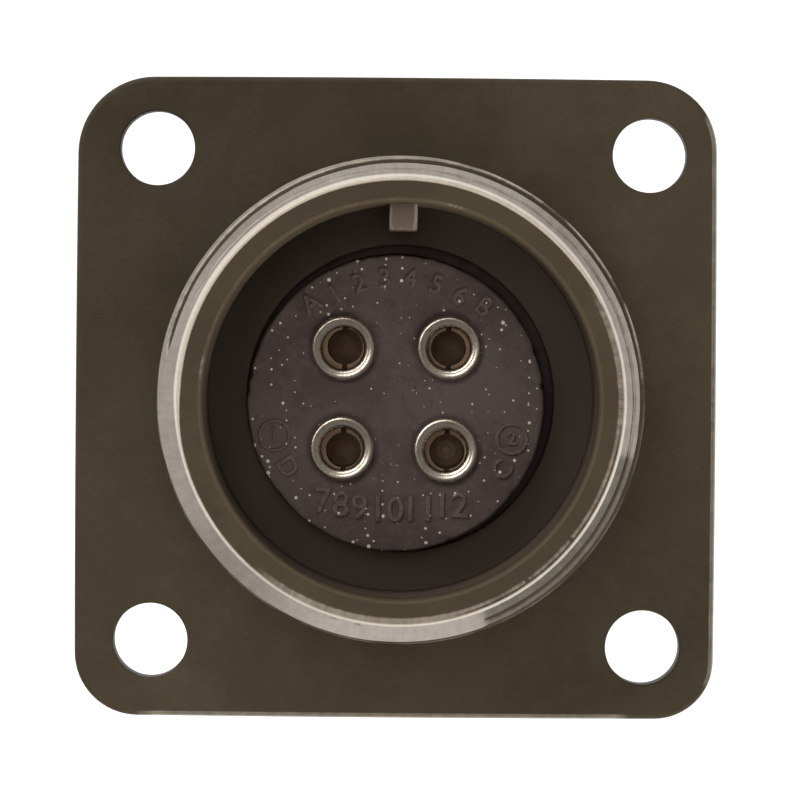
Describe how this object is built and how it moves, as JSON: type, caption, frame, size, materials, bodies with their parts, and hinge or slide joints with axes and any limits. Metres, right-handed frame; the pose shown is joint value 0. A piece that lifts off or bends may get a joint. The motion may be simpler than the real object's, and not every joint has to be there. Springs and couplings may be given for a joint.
{
  "type": "circular connector box receptacle",
  "caption": "Square-flange panel receptacle with a threaded coupling barrel, a keyed bore and hooded socket contacts in a moulded rubber insert.",
  "frame": {"origin": "centre of the flange's rear face, which meets the panel, on the barrel's axis", "axes": "+Z along the barrel's axis, the way the mating plug leaves; +Y towards the polarising key"},
  "size_m": [0.0298, 0.0298, 0.0286],
  "materials": {
    "shell_finish": "olive drab conversion coating, satin, worn to bare metal on the rim and thread",
    "insert_rubber": "matt dark purple-brown moulded rubber, dusty",
    "retainer_steel": "plain spring steel, satin",
    "contact_brass": "thin silver plate over brass, dull",
    "hood_silver": "silver-plated steel, polished by use"
  },
  "bodies": {
    "root": {"shell": "shell_finish", "front_insert": "insert_rubber", "rear_insert": "insert_rubber", "thrust_washer": "retainer_steel", "retaining_ring": "retainer_steel", "socket_a": "contact_brass", "socket_b": "contact_brass", "socket_c": "contact_brass", "socket_d": "contact_brass", "hood_a": "hood_silver", "hood_b": "hood_silver", "hood_c": "hood_silver", "hood_d": "hood_silver"}
  },
  "joints": []
}
